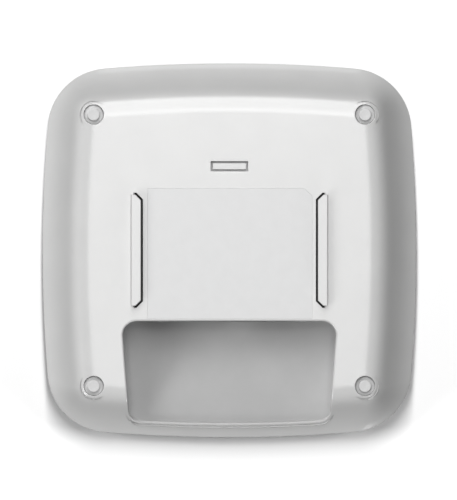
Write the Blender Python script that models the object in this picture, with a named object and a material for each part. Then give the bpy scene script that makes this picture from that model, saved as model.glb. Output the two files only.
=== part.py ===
"""Square ceiling access point with rounded corners, back up.

The origin is the middle of the flat back, +Z points at the ceiling and -Y at the cable bay.
The back carries two hooked rails, a latch pocket, a rating label and four plugged screws; a deep
bay opens in it for the cables, with the sockets in the bay's upper wall. The board, its heat
spreader and four antennas sit between the rear cover and the front cover. Lengths below are in
millimetres; add() turns them into metres.
"""

import math

import bmesh
import bpy
from mathutils import Euler

MM = 0.001

# Plan outline of both covers: bowed sides joined by corner arcs. Inside the shoulder the corner
# arcs are centred on the screws, and further out they open up to the rim's larger radius.
HALF = 80.0
SIDE_R = 667.0
SCREW_REACH = 60.6
SHOULDER = 66.0
CORNER_OPENING = 7.1
CORNER_LEAST = 1.2
CORNER_STEPS = 8
SIDE_STEPS = 4

# Rear cover, from the flat back (z = 0) down to its rim: how steeply it falls, in degrees, at each
# reach. The falls are scaled together so that the cover ends at the rim's height.
RIM_Z = -20.0
BACK_SLOPES = (
    (58.5, 0.0),
    (60.0, 3.0),
    (62.3, 11.0),
    (63.5, 18.0),
    (64.6, 27.0),
    (65.6, 37.0),
    (66.6, 46.0),
    (67.5, 54.0),
    (68.5, 59.0),
    (70.0, 61.0),
    (73.0, 57.0),
    (76.0, 49.0),
    (HALF, 35.0),
)
BACK_RINGS = (58.5, 61.0, 63.0, 64.5, 66.0, 67.5, 69.5, 72.5, 76.0, HALF)
FALL_STEP = 0.05
WALL = 2.0

# Front cover, from the parting line down to the room-side face.
PARTING = 0.3
FRONT_TOP = RIM_Z - PARTING
SHOULDER_Z = -24.5
FACE_EDGE = 66.0
FACE_Z = -33.3
CROWN = 0.7
FACE_INNER_Z = -31.8
SHOULDER_STEPS = 6

# Cable bay.
BAY_TOP_Y = -30.2
BAY_FLOOR_Z = -19.0
BAY_RIM_INSET = 5.6
BAY_HALF_TOP = 45.65
BAY_HALF_LOW = 43.2
BAY_TOP_R = 6.0
BAY_LOW_R = 5.0

# Hooked rails for the bracket.
RAIL_OUTER = 41.9
RAIL_TIP = 37.7
RAIL_WEB = 1.1
RAIL_HALF = 23.7
RAIL_TOP = 2.4
RAIL_UNDER = 1.2
RAIL_CHAMFER = 2.3
SLOT_GAP = 0.75
SLOT_OUTER = 41.0

# Latch pocket.
LATCH_Y = 35.9
LATCH_SIZE = (16.0, 4.4)
LATCH_DRAFT = 0.1
LATCH_DEPTH = 1.6
LATCH_SEAT = (14.4, 2.8)
LATCH_SEAT_TOP = -0.5

# Rating label, in a shallow recess.
LABEL_LOW = (-35.0, -29.0)
LABEL_HIGH = (35.3, 26.4)
LABEL_CORNER = 3.2
LABEL_RECESS = 0.5
LABEL_TOP = -0.15
LABEL_THICK = 0.2

# Case screws under plugs, at the four corners.
SCREW_AT = 58.0
BOSS_R = 4.9
BOSS_TOP = -1.6
BOSS_SHOULDER = -2.8
PLUG_POCKET_R = 4.3
PLUG_POCKET_Z = -2.7
COUNTERBORE_R = 3.2
COUNTERBORE_Z = -9.0
SCREW_HOLE_R = 1.8
SCREW_R = 1.5

# Board stack.
BOARD_HALF = 52.0
BOARD_LOW_Y = -27.8
BOARD_HIGH_Y = 62.0
BOARD_TOP = -18.2
BOARD_THICK = 1.6
BOARD_UNDER = BOARD_TOP - BOARD_THICK
BOARD_SCREWS = ((-46.0, -21.0), (46.0, -21.0), (-46.0, 56.0), (46.0, 56.0))
GAP = 0.3
SEAT = BOARD_TOP + GAP

# Heat spreader under the board, and the chips whose pads touch its pedestals: name, middle, side.
SPREADER_TOP = -23.4
SPREADER_THICK = 1.5
POST_TOP = SPREADER_TOP - SPREADER_THICK - 0.4
HOT_CHIPS = (
    ("processor", (0.0, 24.0), 17.0),
    ("radio_2g", (-26.0, 4.0), 12.0),
    ("radio_5g", (26.0, 4.0), 12.0),
)
COOL_CHIPS = (
    ("memory_chip", (-20.0, 28.0), (10.0, 14.0)),
    ("flash_chip", (20.0, 30.0), (8.0, 10.0)),
)
CHIP_THICK = 1.2
PAD_THICK = 0.8
CHIP_TOP = BOARD_UNDER - 0.2
PAD_TOP = CHIP_TOP - CHIP_THICK - 0.2
PEDESTAL_TOP = PAD_TOP - PAD_THICK - 0.2

# Status light's pipe, and the antennas: middle and turn of each, their feet and their connectors.
LIGHT_AT = (0.0, 55.5)
ANTENNAS = (
    ((-66.0, 2.0), 90.0),
    ((66.0, 2.0), -90.0),
    ((-30.0, 64.8), 0.0),
    ((30.0, 64.8), 0.0),
)
ANTENNA_FOOT_Z = -31.4
CONNECTORS = ((-44.0, 22.0), (44.0, 22.0), (-24.0, 53.0), (24.0, 53.0))

# Sockets in the bay's upper wall.
PORT_FACE_Y = -29.9
ETHERNET_X = 18.0
ETHERNET_SIZE = (16.0, 21.0, 13.2)
CONSOLE_X = -4.0
RESET_X = -18.0
RESET_Z = -15.6
CONSOLE_HALF = 3.9
CONSOLE_HEIGHT = 3.1
POWER_X = -33.0
POWER_Z = -11.9
POWER_HALF = 4.9
POWER_TOP = -6.4
ACROSS_WALL = (-90, 0, 0)

LOOKS = {
    "cover_white": ((0.80, 0.80, 0.79), 0.5, 0.0),
    "label_white": ((0.78, 0.78, 0.78), 0.45, 0.0),
    "plug_rubber": ((0.72, 0.72, 0.72), 0.7, 0.0),
    "zinc_steel": ((0.60, 0.61, 0.63), 0.35, 1.0),
    "black_film": ((0.02, 0.02, 0.02), 0.5, 0.0),
    "board_green": ((0.03, 0.16, 0.08), 0.5, 0.0),
    "cast_aluminium": ((0.62, 0.63, 0.65), 0.5, 1.0),
    "thermal_pad": ((0.45, 0.50, 0.58), 0.9, 0.0),
    "chip_black": ((0.03, 0.03, 0.035), 0.5, 0.0),
    "tinned_steel": ((0.66, 0.66, 0.64), 0.3, 1.0),
    "antenna_brass": ((0.72, 0.58, 0.30), 0.35, 1.0),
    "lead_grey": ((0.30, 0.30, 0.31), 0.5, 0.0),
    "socket_black": ((0.025, 0.025, 0.028), 0.45, 0.0),
    "gold_plate": ((0.83, 0.62, 0.25), 0.25, 1.0),
    "button_grey": ((0.20, 0.20, 0.21), 0.5, 0.0),
    "ferrite": ((0.10, 0.10, 0.11), 0.7, 0.0),
    "can_aluminium": ((0.70, 0.70, 0.71), 0.3, 1.0),
    "led_clear": ((0.85, 0.87, 0.88), 0.15, 0.0),
}


# ---------------------------------------------------------------- scene and meshes


def clear_scene():
    for thing in list(bpy.data.objects):
        bpy.data.objects.remove(thing, do_unlink=True)


def material(look):
    found = bpy.data.materials.get(look)
    if found:
        return found
    colour, roughness, metallic = LOOKS[look]
    made = bpy.data.materials.new(look)
    made.use_nodes = True
    shader = made.node_tree.nodes["Principled BSDF"]
    shader.inputs["Base Color"].default_value = (*colour, 1.0)
    shader.inputs["Roughness"].default_value = roughness
    shader.inputs["Metallic"].default_value = metallic
    return made


def add(name, look, points, faces, at=(0, 0, 0), turn=(0, 0, 0)):
    """An object from points in mm about its own origin, which stands at `at`; `turn` is in degrees."""
    mesh = bpy.data.meshes.new(name)
    mesh.from_pydata([[value * MM for value in point] for point in points], [], faces)
    work = bmesh.new()
    work.from_mesh(mesh)
    bmesh.ops.recalc_face_normals(work, faces=work.faces)
    bmesh.ops.triangulate(work, faces=[face for face in work.faces if len(face.verts) == 4])
    work.to_mesh(mesh)
    work.free()
    mesh.shade_smooth()
    mesh.set_sharp_from_angle(angle=math.radians(30))
    if look:
        mesh.materials.append(material(look))
    made = bpy.data.objects.new(name, mesh)
    made.location = [value * MM for value in at]
    made.rotation_euler = Euler([math.radians(angle) for angle in turn])
    bpy.context.collection.objects.link(made)
    return made


def copy_of(source, name, at):
    made = source.copy()
    made.name = name
    made.location = [value * MM for value in at]
    bpy.context.collection.objects.link(made)
    return made


def boolean(target, others, operation):
    """One Boolean with all of `others`, which become hidden operands in a collection of their own."""
    step = target.modifiers.new(operation.lower(), "BOOLEAN")
    step.operation = operation
    step.solver = "EXACT"
    step.operand_type = "COLLECTION"
    step.collection = bpy.data.collections.new(f"{target.name} {operation.lower()}")
    bpy.context.scene.collection.children.link(step.collection)
    for other in others:
        other.hide_render = True
        other.display_type = "WIRE"
        for owner in other.users_collection:
            owner.objects.unlink(other)
        step.collection.objects.link(other)


def cut(target, *cutters):
    boolean(target, cutters, "DIFFERENCE")


def join(target, *pieces):
    boolean(target, pieces, "UNION")


def loft(name, look, rings, **place):
    """A closed solid through rings of equal point counts, capped at both ends."""
    count = len(rings[0])
    points = [point for ring in rings for point in ring]
    faces = [list(range(count)), list(range(len(points) - count, len(points)))]
    for level in range(len(rings) - 1):
        for i in range(count):
            j = (i + 1) % count
            low, high = level * count, (level + 1) * count
            faces.append((low + i, low + j, high + j, high + i))
    return add(name, look, points, faces, **place)


def closed_ring(name, look, loops, **place):
    """A ring-shaped solid whose section is closed: its last loop joins its first."""
    count = len(loops[0])
    points = [point for loop in loops for point in loop]
    faces = []
    for level in range(len(loops)):
        low, high = level * count, (level + 1) % len(loops) * count
        for i in range(count):
            j = (i + 1) % count
            faces.append((low + i, low + j, high + j, high + i))
    return add(name, look, points, faces, **place)


def at_height(plan, z):
    return [(x, y, z) for x, y in plan]


def prism(name, look, plan, z_low, z_high, **place):
    return loft(name, look, [at_height(plan, z_low), at_height(plan, z_high)], **place)


def rectangle(low, high):
    return [(low[0], low[1]), (high[0], low[1]), (high[0], high[1]), (low[0], high[1])]


def box(name, look, low, high, **place):
    return prism(name, look, rectangle(low, high), low[2], high[2], **place)


def circle(radius, steps):
    turns = [2 * math.pi * step / steps for step in range(steps)]
    return [(radius * math.cos(turn), radius * math.sin(turn)) for turn in turns]


def turned(name, look, profile, steps=20, **place):
    """A round solid about its own Z: profile is a list of (radius, z) from one end to the other."""
    return loft(name, look, [at_height(circle(r, steps), z) for r, z in profile], **place)


def arc(centre, radius, start, end, steps):
    """Points from `start` to `end` degrees round a centre, both ends included."""
    angles = [math.radians(start + (end - start) * step / steps) for step in range(steps + 1)]
    return [(centre[0] + radius * math.cos(a), centre[1] + radius * math.sin(a)) for a in angles]


# ---------------------------------------------------------------- the covers' outline


def corner_radius(reach):
    """The corner arc's radius on the outline that passes `reach` from the middle."""
    opening = max(0.0, (reach - SHOULDER) / (HALF - SHOULDER))
    return max(CORNER_LEAST, reach - SCREW_REACH) + CORNER_OPENING * opening**2


def corner_centre(reach, corner_r):
    """How far the corner arc's centre is from the middle, so that it meets the side arcs smoothly."""
    away = SIDE_R - HALF
    span = away + reach - corner_r
    return (-away + math.sqrt(2 * span**2 - away**2)) / 2


def outline(reach, corner_r):
    """A cover's plan where its sides pass `reach` from the middle."""
    centre = corner_centre(reach, corner_r)
    away = SIDE_R - HALF
    lean = math.degrees(math.atan2(centre, centre + away))
    points = []
    for quarter in range(4):
        piece = arc((-away, 0), away + reach, -lean, lean, SIDE_STEPS)[:-1]
        piece += arc((centre, centre), corner_r, lean, 90 - lean, CORNER_STEPS)[:-1]
        cos, sin = math.cos(math.radians(90 * quarter)), math.sin(math.radians(90 * quarter))
        points += [(x * cos - y * sin, x * sin + y * cos) for x, y in piece]
    return points


def ring_at(reach, z):
    """A level line of the rear cover's skin."""
    return at_height(outline(reach, corner_radius(reach)), z)


def rim_outline(reach):
    """The plan that runs parallel to the rim."""
    return outline(reach, corner_radius(HALF) - (HALF - reach))


def rim_ring(reach, z):
    return at_height(rim_outline(reach), z)


def back_slope(reach):
    """How steeply the rear cover falls at a reach, in radians."""
    for (near, gentle), (far, steep) in zip(BACK_SLOPES, BACK_SLOPES[1:]):
        if reach <= far:
            share = (reach - near) / (far - near)
            return math.radians(gentle + (steep - gentle) * share)
    return math.radians(BACK_SLOPES[-1][1])


def back_fall(reach):
    """How far the slopes fall from the flat back to a reach, before scaling."""
    steps = round((reach - BACK_SLOPES[0][0]) / FALL_STEP)
    middles = [BACK_SLOPES[0][0] + (step + 0.5) * FALL_STEP for step in range(steps)]
    return sum(math.tan(back_slope(middle)) * FALL_STEP for middle in middles)


def back_section(inward):
    """(reach, z) down the rear cover's section, moved `inward` along its normal."""
    scale = RIM_Z / back_fall(HALF)
    section = []
    for reach in BACK_RINGS:
        lean = math.atan(-scale * math.tan(back_slope(reach)))
        z = scale * back_fall(reach)
        section.append((reach - inward * math.sin(lean), z - inward * math.cos(lean)))
    return section


def front_section(wall):
    """(reach, z) down the front cover's side and shoulder, `wall` inside its outer skin."""
    face_z = FACE_Z if wall == 0 else FACE_INNER_Z
    across, down = HALF - wall - FACE_EDGE, SHOULDER_Z - face_z
    angles = [math.pi / 2 * step / SHOULDER_STEPS for step in range(SHOULDER_STEPS + 1)]
    return [(FACE_EDGE + across * math.cos(a), SHOULDER_Z - down * math.sin(a)) for a in angles]


def bay_outline(grow):
    """The cable bay's plan, `grow` outside its walls: its lower edge runs parallel to the rim."""
    bow_centre = SIDE_R - HALF
    bow_r = SIDE_R - BAY_RIM_INSET + grow
    top_y = BAY_TOP_Y + grow
    low_half, top_half = BAY_HALF_LOW + grow, BAY_HALF_TOP + grow
    top_r, low_r = BAY_TOP_R + grow, BAY_LOW_R + grow
    low_x = low_half - low_r
    low_y = bow_centre - math.sqrt((bow_r - low_r) ** 2 - low_x**2)
    lean = math.degrees(math.atan2(low_x, bow_centre - low_y))
    right = arc((low_x, low_y), low_r, -90 + lean, 0, 5)
    right += arc((top_half - top_r, top_y - top_r), top_r, 0, 90, 5)
    left = [(-x, y) for x, y in reversed(right)]
    bottom = arc((0, bow_centre), bow_r, -90 - lean, -90 + lean, 8)[1:-1]
    return right + left + bottom


# ---------------------------------------------------------------- rear cover


def rear_shell():
    outer = [ring_at(reach, z) for reach, z in back_section(0)]
    inner = [ring_at(reach, z) for reach, z in back_section(WALL)]
    shell = loft("rear_cover", "cover_white", outer)
    cut(shell, loft("rear_hollow", None, inner))
    return shell


def bay_tub():
    """The bay's walls and floor, trimmed to end inside the cover's skin."""
    tub = prism("bay_tub", None, bay_outline(WALL), BAY_FLOOR_Z - WALL, -1.0)
    skin = [ring_at(reach, z) for reach, z in back_section(WALL / 2)] + [rim_ring(HALF, RIM_Z - 5)]
    boolean(tub, [loft("tub_trim", None, skin)], "INTERSECT")
    return tub


def seam_tongue():
    """A lip round the rim that drops inside the front cover."""
    inner, outer, top, bottom = 75.4, 77.6, -18.8, -22.0
    corners = ((inner, bottom), (outer, bottom), (outer, top), (inner, top))
    loops = [rim_ring(reach, z) for reach, z in corners]
    return closed_ring("seam_tongue", None, loops)


def rail(side):
    """An inverted-L hook; its lip points at the middle and its inner corners are chamfered."""
    web = RAIL_OUTER - RAIL_WEB
    root = -1.6
    section = [
        (RAIL_OUTER, root),
        (RAIL_OUTER, RAIL_TOP),
        (RAIL_TIP, RAIL_TOP),
        (RAIL_TIP, RAIL_UNDER),
        (web, RAIL_UNDER),
        (web, root),
    ]
    ends = [[(side * x, y, z) for x, z in section] for y in (-RAIL_HALF, RAIL_HALF)]
    hook = loft(f"rail_{side}", None, ends)
    for end in (-1, 1):
        reach = 2.0
        corner = (side * RAIL_TIP, end * RAIL_HALF)
        wedge = [
            (corner[0] + side * RAIL_CHAMFER, corner[1]),
            (corner[0] + side * RAIL_CHAMFER, corner[1] + end * reach),
            (corner[0] - side * reach, corner[1] + end * reach),
            (corner[0] - side * reach, corner[1] - end * RAIL_CHAMFER),
            (corner[0], corner[1] - end * RAIL_CHAMFER),
        ]
        cut(hook, prism(f"rail_corner_{side}_{end}", None, wedge, 0.5, 3.0))
    return hook


def rail_slot(side):
    """The moulding slot under a rail's lip: it follows the lip, a small gap outside it."""
    tip, half = RAIL_TIP - SLOT_GAP, RAIL_HALF + SLOT_GAP
    chamfer = RAIL_CHAMFER + SLOT_GAP * (2 - math.sqrt(2))
    plan = [
        (side * SLOT_OUTER, -half),
        (side * SLOT_OUTER, half),
        (side * (tip + chamfer), half),
        (side * tip, half - chamfer),
        (side * tip, -half + chamfer),
        (side * (tip + chamfer), -half),
    ]
    return prism(f"rail_slot_{side}", None, plan, -3.5, 0.7)


def latch_pad():
    half_x, half_y = LATCH_SIZE[0] / 2 + 1.0, LATCH_SIZE[1] / 2 + 1.0
    low = (-half_x, LATCH_Y - half_y, -LATCH_DEPTH - 1.2)
    return box("latch_pad", None, low, (half_x, LATCH_Y + half_y, -1.0))


def latch_pocket():
    """A drafted pocket, wider at its mouth; it runs on above the back so that it cuts it cleanly."""
    rings = []
    for z in (-LATCH_DEPTH, LATCH_DEPTH):
        spread = LATCH_DRAFT * z / LATCH_DEPTH
        half_x, half_y = LATCH_SIZE[0] / 2 + spread, LATCH_SIZE[1] / 2 + spread
        plan = rectangle((-half_x, LATCH_Y - half_y), (half_x, LATCH_Y + half_y))
        rings.append(at_height(plan, z))
    return loft("latch_pocket", None, rings)


def latch_seat():
    """The raised pad in the pocket's floor; the groove left round it takes the bracket's latch."""
    half_x, half_y = LATCH_SEAT[0] / 2, LATCH_SEAT[1] / 2
    low = (-half_x, LATCH_Y - half_y, -LATCH_DEPTH - 0.6)
    return box("latch_seat", None, low, (half_x, LATCH_Y + half_y, LATCH_SEAT_TOP))


def label_plan(grow):
    low_x, low_y = LABEL_LOW[0] - grow, LABEL_LOW[1] - grow
    high_x, high_y = LABEL_HIGH[0] + grow, LABEL_HIGH[1] + grow
    corner = [(high_x, high_y - LABEL_CORNER), (high_x - LABEL_CORNER, high_y)]
    return [(low_x, low_y), (high_x, low_y), *corner, (low_x, high_y)]


def case_screw_places():
    """The four screws' numbers and places, round from the lower left."""
    signs = ((-1, -1), (1, -1), (1, 1), (-1, 1))
    return [(number, (x * SCREW_AT, y * SCREW_AT, 0)) for number, (x, y) in enumerate(signs, start=1)]


def rear_boss(number, at):
    profile = [(PLUG_POCKET_R - 0.1, BOSS_TOP), (BOSS_R, BOSS_SHOULDER), (BOSS_R, RIM_Z - 0.6)]
    return turned(f"rear_boss_{number}", None, profile, at=at)


def rear_boss_bore(number, at):
    profile = [
        (PLUG_POCKET_R, 1.0),
        (PLUG_POCKET_R, PLUG_POCKET_Z),
        (COUNTERBORE_R, PLUG_POCKET_Z),
        (COUNTERBORE_R, COUNTERBORE_Z),
        (SCREW_HOLE_R, COUNTERBORE_Z),
        (SCREW_HOLE_R, RIM_Z - 2.0),
    ]
    return turned(f"rear_bore_{number}", None, profile, at=at)


def port_windows():
    """The cut-outs for the sockets and the reset button in the bay's upper wall."""
    cutters = []
    for name, x, half, top in (
        ("ethernet", ETHERNET_X, ETHERNET_SIZE[0] / 2 + GAP, SEAT + ETHERNET_SIZE[2] + GAP),
        ("power", POWER_X, POWER_HALF + 0.4, POWER_TOP + 0.4),
        ("console", CONSOLE_X, CONSOLE_HALF + 0.5, SEAT + CONSOLE_HEIGHT + 0.6),
    ):
        low = (x - half, BAY_TOP_Y - 1.0, SEAT - 0.4)
        high = (x + half, BAY_TOP_Y + WALL + 1.0, top)
        cutters.append(box(f"{name}_window", None, low, high))
    place = {"at": (RESET_X, BAY_TOP_Y, RESET_Z), "turn": ACROSS_WALL}
    cutters.append(turned("reset_window", None, [(1.8, -2.0), (1.8, 3.0)], steps=16, **place))
    return cutters


def rear_cover():
    cover = rear_shell()
    bosses = [rear_boss(number, at) for number, at in case_screw_places()]
    join(cover, bay_tub(), seam_tongue(), latch_pad(), *bosses)
    cutters = [
        prism("bay_hollow", None, bay_outline(0), BAY_FLOOR_Z, 5.0),
        prism("label_recess", None, label_plan(GAP), -LABEL_RECESS, 1.0),
        latch_pocket(),
        *port_windows(),
    ]
    cutters += [rear_boss_bore(number, at) for number, at in case_screw_places()]
    cutters += [rail_slot(side) for side in (-1, 1)]
    cut(cover, *cutters)
    join(cover, latch_seat(), rail(-1), rail(1))


# ---------------------------------------------------------------- front cover


def front_cover():
    outer = [rim_ring(HALF, FRONT_TOP)] + [rim_ring(reach, z) for reach, z in front_section(0)]
    face = rim_outline(FACE_EDGE)
    for scale in (0.7, 0.4, 0.12):
        plan = [(x * scale, y * scale) for x, y in face]
        outer.append(at_height(plan, FACE_Z - CROWN * (1 - scale**2)))
    cover = loft("front_cover", "cover_white", outer)
    inner = [rim_ring(HALF - WALL, FRONT_TOP + 1)]
    inner += [rim_ring(reach, z) for reach, z in front_section(WALL)]
    cut(cover, loft("front_hollow", None, inner))
    root = FACE_INNER_Z - 0.7
    light_profile = [(1.8, -30.0), (1.8, -36.0)]
    screw_profile = [(SCREW_HOLE_R, -19.0), (SCREW_HOLE_R, -29.5)]
    peg_profile = [(0.8, ANTENNA_FOOT_Z + 1.3), (0.8, root)]
    posts, bores = [], [turned("light_hole", None, light_profile, steps=16, at=(*LIGHT_AT, 0))]
    for number, at in case_screw_places():
        posts.append(turned(f"front_boss_{number}", None, [(4.3, RIM_Z - 0.9), (4.3, root)], at=at))
        bores.append(turned(f"front_bore_{number}", None, screw_profile, at=at))
    for number, (x, y) in enumerate(BOARD_SCREWS, start=1):
        at = (x, y, 0)
        posts.append(turned(f"post_{number}", None, [(3.2, POST_TOP), (3.2, root)], steps=16, at=at))
        bores.append(turned(f"post_bore_{number}", None, [(1.5, -25.0), (1.5, -31.0)], steps=12, at=at))
    for number, at in antenna_peg_places():
        posts.append(turned(f"peg_{number}", None, peg_profile, steps=8, at=at))
    join(cover, *posts)
    cut(cover, *bores)


# ---------------------------------------------------------------- label, plugs and screws


def label_and_film():
    prism("rating_label", "label_white", label_plan(0), LABEL_TOP - LABEL_THICK, LABEL_TOP)
    sheet = rectangle((-50.0, -27.6), (50.0, 50.0))
    prism("insulating_film", "black_film", sheet, -3.7, -3.4)


def plugs_and_screws():
    plug_profile = [
        (2.7, -5.6),
        (2.9, -5.2),
        (2.9, PLUG_POCKET_Z + 0.2),
        (4.0, PLUG_POCKET_Z + 0.2),
        (4.0, -1.4),
        (2.6, -1.4),
        (2.6, -0.6),
        (2.45, -0.45),
    ]
    head = COUNTERBORE_Z + GAP
    screw_profile = [
        (0.9, -28.5),
        (SCREW_R, -27.0),
        (SCREW_R, head),
        (2.8, head),
        (2.8, head + 1.7),
        (2.2, head + 2.3),
    ]
    plug = screw = None
    for number, at in case_screw_places():
        if plug is None:
            plug = turned(f"screw_plug_{number}", "plug_rubber", plug_profile, at=at)
            screw = turned(f"case_screw_{number}", "zinc_steel", screw_profile, steps=16, at=at)
            recess = turned("case_drive", None, [(1.1, head + 0.9), (1.1, head + 3.0)], steps=6, at=at)
            cut_mesh(screw, recess)
        else:
            copy_of(plug, f"screw_plug_{number}", at)
            copy_of(screw, f"case_screw_{number}", at)


def cut_mesh(target, cutter):
    """Cuts the target's own mesh, so that its copies share the cut."""
    cut(target, cutter)
    bpy.context.view_layer.update()
    evaluated = target.evaluated_get(bpy.context.evaluated_depsgraph_get())
    mesh = bpy.data.meshes.new_from_object(evaluated)
    target.modifiers.clear()
    target.data = mesh
    bpy.data.objects.remove(cutter, do_unlink=True)


# ---------------------------------------------------------------- board and its parts


def main_board():
    board = box(
        "main_board",
        "board_green",
        (-BOARD_HALF, BOARD_LOW_Y, BOARD_UNDER),
        (BOARD_HALF, BOARD_HIGH_Y, BOARD_TOP),
    )
    profile = [(1.5, BOARD_UNDER - 1), (1.5, BOARD_TOP + 1)]
    places = [(x, y, 0) for x, y in BOARD_SCREWS]
    cut(board, *[turned("board_hole", None, profile, steps=12, at=at) for at in places])


def board_screws():
    head = BOARD_TOP + GAP
    profile = [(0.7, -30.2), (1.2, -29.3), (1.2, head)]
    profile += [(2.5, head), (2.5, head + 0.9), (1.9, head + 1.5)]
    drive = [(0.9, head + 0.5), (0.9, head + 2.0)]
    first = None
    for number, (x, y) in enumerate(BOARD_SCREWS, start=1):
        name = f"board_screw_{number}"
        if first is None:
            first = turned(name, "zinc_steel", profile, steps=14, at=(x, y, 0))
            cut_mesh(first, turned("board_drive", None, drive, steps=6, at=(x, y, 0)))
        else:
            copy_of(first, name, (x, y, 0))


def heat_spreader():
    """A cast plate under the board: four screw bosses and a pedestal for each hot chip."""
    under = SPREADER_TOP - SPREADER_THICK
    notch, notch_y, top_y = 6.0, 48.0, 60.0
    plan = [
        (-50.0, -25.0),
        (50.0, -25.0),
        (50.0, top_y),
        (notch, top_y),
        (notch, notch_y),
        (-notch, notch_y),
        (-notch, top_y),
        (-50.0, top_y),
    ]
    plate = prism("heat_spreader", "cast_aluminium", plan, under, SPREADER_TOP)
    boss, bore = [(3.4, under + 0.4), (3.4, BOARD_UNDER - GAP)], [(1.5, under - 1), (1.5, BOARD_TOP)]
    places = [(x, y, 0) for x, y in BOARD_SCREWS]
    raised = [turned("spreader_boss", None, boss, steps=16, at=at) for at in places]
    for chip, (x, y), size in HOT_CHIPS:
        half = size / 2 + 1.0
        low, high = (x - half, y - half, under + 0.4), (x + half, y + half, PEDESTAL_TOP)
        raised.append(box(f"pedestal_{chip}", None, low, high))
    join(plate, *raised)
    cut(plate, *[turned("spreader_bore", None, bore, steps=12, at=at) for at in places])


def chips_and_pads():
    for chip, (x, y), size in HOT_CHIPS:
        half = size / 2
        for name, look, top, thick in (
            (f"{chip}_chip", "chip_black", CHIP_TOP, CHIP_THICK),
            (f"{chip}_thermal_pad", "thermal_pad", PAD_TOP, PAD_THICK),
        ):
            box(name, look, (x - half, y - half, top - thick), (x + half, y + half, top))
    for name, (x, y), (width, depth) in COOL_CHIPS:
        low = (x - width / 2, y - depth / 2, CHIP_TOP - 1.0)
        box(name, "chip_black", low, (x + width / 2, y + depth / 2, CHIP_TOP))


def shield_can(name, at, size):
    """A pressed lid over a radio's front end: five walls, open towards the board."""
    width, depth, height = size
    low = (at[0] - width / 2, at[1] - depth / 2, SEAT)
    high = (at[0] + width / 2, at[1] + depth / 2, SEAT + height)
    can = box(name, "tinned_steel", low, high)
    inner_low = (low[0] + 0.4, low[1] + 0.4, SEAT - 1)
    cut(can, box(f"{name}_hollow", None, inner_low, (high[0] - 0.4, high[1] - 0.4, high[2] - 0.4)))


def power_parts():
    """The power-over-Ethernet transformer, the line magnetics, two capacitors and an inductor."""
    core = box("poe_transformer", "ferrite", (-9.0, 2.0, SEAT), (5.0, 15.0, SEAT + 10.0))
    windows = [((x - 2.0, 5.0, SEAT + 2.0), (x + 2.0, 12.0, SEAT + 8.0)) for x in (-9.0, 5.0)]
    cut(core, *[box("core_window", None, low, high) for low, high in windows])
    box("line_magnetics", "chip_black", (10.0, -2.5, SEAT), (26.0, 8.5, SEAT + 5.2))
    for number, x in enumerate((-24.0, -14.5), start=1):
        profile = [(3.9, SEAT), (4.1, SEAT + 0.4), (4.1, SEAT + 1.2), (3.85, SEAT + 1.6)]
        profile += [(4.1, SEAT + 2.0), (4.1, SEAT + 9.6), (3.8, SEAT + 10.0)]
        turned(f"bulk_capacitor_{number}", "can_aluminium", profile, steps=16, at=(x, -8.0, 0))
    coil = box("power_inductor", "ferrite", (-44.0, 4.0, SEAT), (-34.0, 14.0, SEAT + 4.0))
    bevel = coil.modifiers.new("edge", "BEVEL")
    bevel.width = 1.0 * MM
    bevel.segments = 1


def led_and_light_pipe():
    x, y = LIGHT_AT
    top = BOARD_UNDER - 0.2
    box("status_led", "led_clear", (x - 0.8, y - 0.8, top - 0.8), (x + 0.8, y + 0.8, top))
    profile = [(2.6, top - 1.1), (2.6, -23.0), (1.5, -24.2), (1.5, FACE_Z - CROWN + 0.5)]
    turned("light_pipe", "led_clear", profile, steps=16, at=(x, y, 0))


# ---------------------------------------------------------------- antennas


def antenna_peg_places():
    """Each antenna's number with the place of each of its two pegs."""
    places = []
    for number, ((x, y), spin) in enumerate(ANTENNAS, start=1):
        angle = math.radians(spin)
        for along in (-8.0, 8.0):
            places.append((number, (x + along * math.cos(angle), y + along * math.sin(angle), 0)))
    return places


def antennas():
    """Stamped inverted-F strips: an upright with a slit, on a foot that two pegs locate."""
    for number, (at, spin) in enumerate(ANTENNAS, start=1):
        foot_top = ANTENNA_FOOT_Z + 0.5
        upright = [(-11.0, 0.0), (11.0, 0.0), (11.0, 6.4), (-7.5, 6.4)]
        upright += [(-7.5, 5.0), (9.0, 5.0), (9.0, 3.6), (-11.0, 3.6)]
        faces = [[(x, y, ANTENNA_FOOT_Z + z) for x, z in upright] for y in (2.6, 3.1)]
        strip = loft(f"antenna_{number}", "antenna_brass", faces, at=(*at, 0), turn=(0, 0, spin))
        low, high = (-11.0, -2.4, ANTENNA_FOOT_Z), (11.0, 2.9, foot_top)
        join(strip, box("antenna_foot", None, low, high, at=(*at, 0), turn=(0, 0, spin)))
        hole = [(1.1, ANTENNA_FOOT_Z - 1.0), (1.1, foot_top + 1.0)]
        pegs = [place for owner, place in antenna_peg_places() if owner == number]
        cut(strip, *[turned("antenna_hole", None, hole, steps=8, at=place) for place in pegs])


def antenna_connectors():
    profile = [(1.3, SEAT), (1.3, SEAT + 0.7), (1.1, SEAT + 1.3)]
    first = None
    for number, (x, y) in enumerate(CONNECTORS, start=1):
        name = f"antenna_connector_{number}"
        if first is None:
            first = turned(name, "gold_plate", profile, steps=12, at=(x, y, 0))
        else:
            copy_of(first, name, (x, y, 0))


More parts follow.
